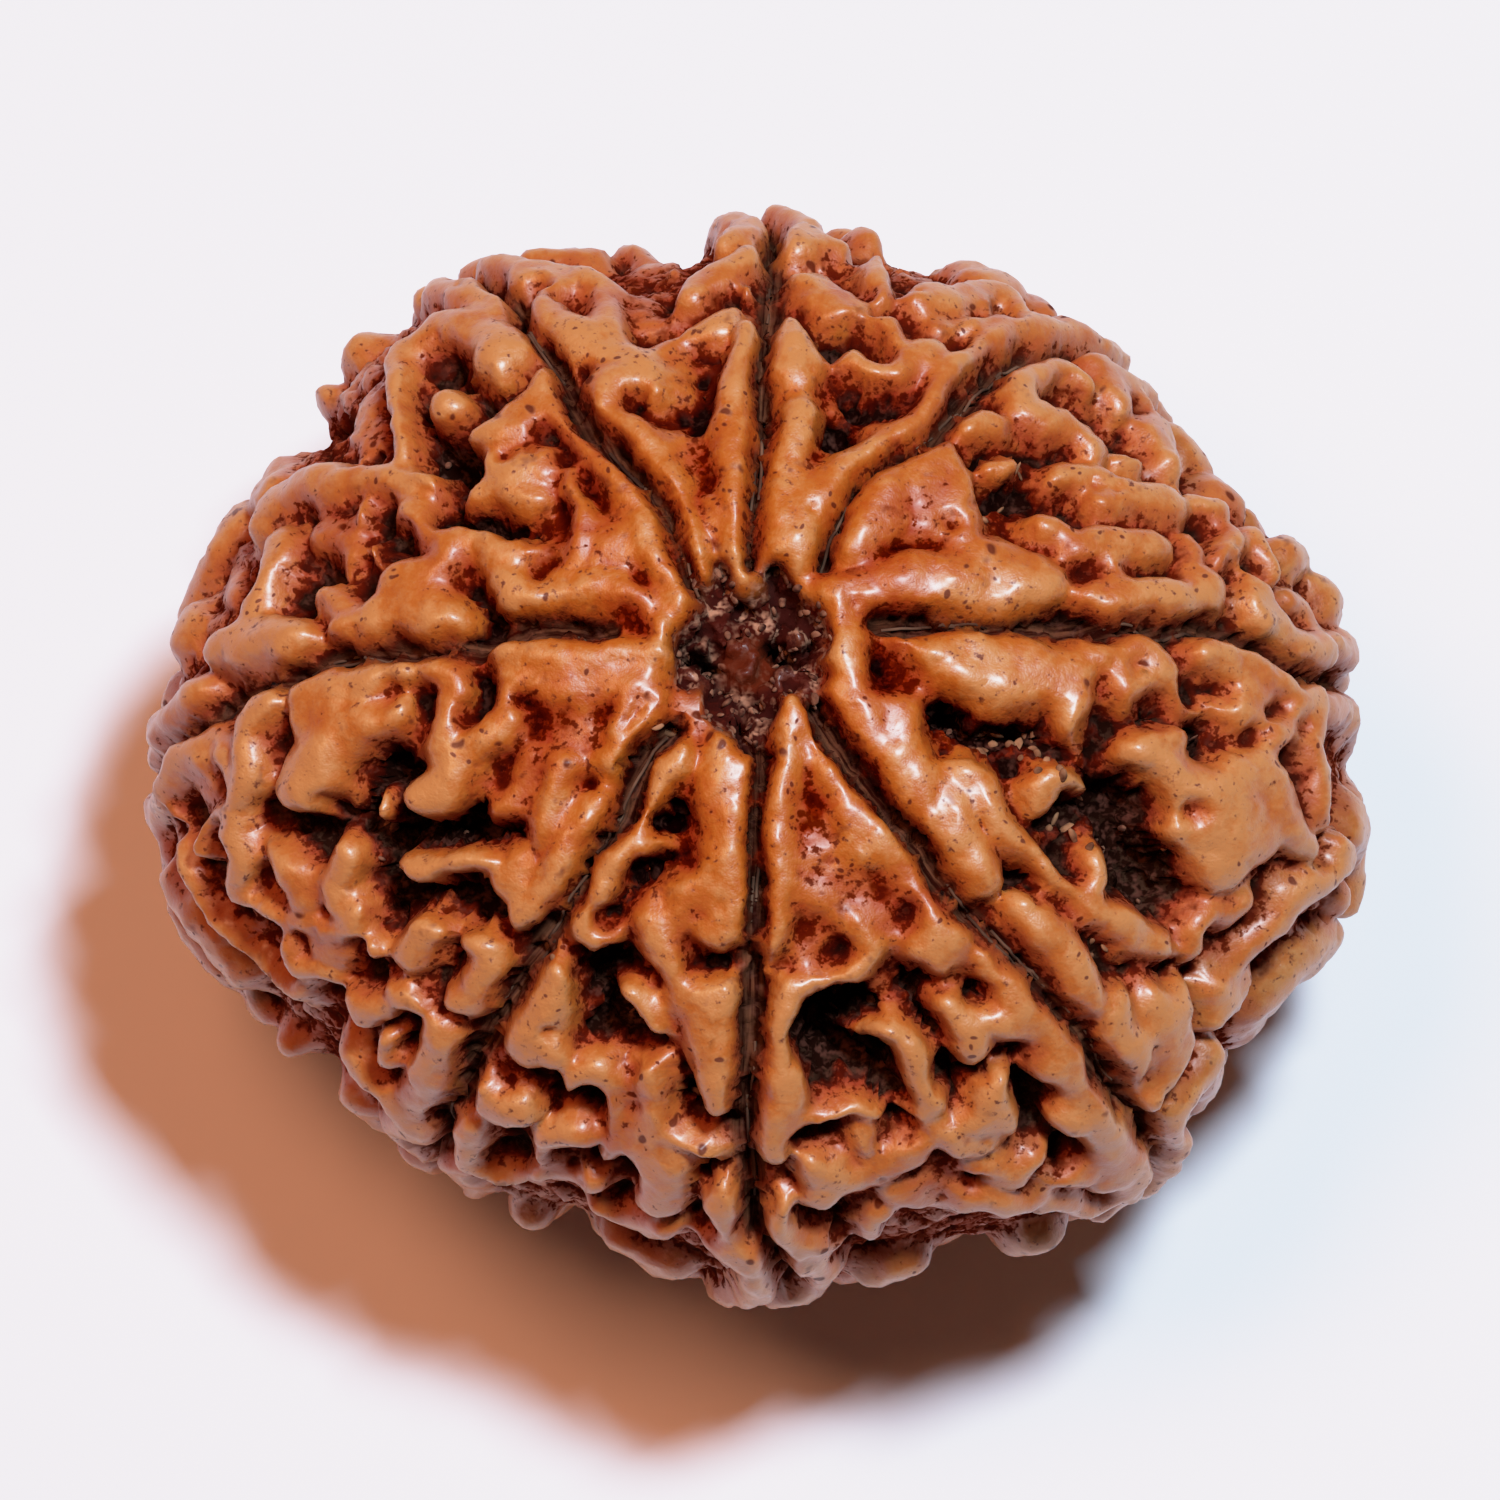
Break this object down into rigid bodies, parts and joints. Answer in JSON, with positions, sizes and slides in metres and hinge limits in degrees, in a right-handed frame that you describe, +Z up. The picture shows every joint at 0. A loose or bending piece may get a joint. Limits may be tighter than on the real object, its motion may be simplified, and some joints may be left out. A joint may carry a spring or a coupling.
{
  "type": "rudraksha seed",
  "caption": "Dried rudraksha seed stone: oblate, lobed, with grooves from pole to pole and knobbly winding folds between them, resting on a small flat spot.",
  "frame": {"origin": "middle of the small flat spot that the seed rests on, under its upper pole", "axes": "+Z up through the pit at the upper pole, +X along the seed's longest side, +Y to its back"},
  "size_m": [0.0244, 0.0221, 0.0166],
  "materials": {
    "seed_stone": "dry woody seed stone, oiled and worn to a soft waxy gloss on the folds, dark and matt in the grooves and pits"
  },
  "bodies": {
    "root": {"rudraksha_stone": "seed_stone"}
  },
  "joints": []
}
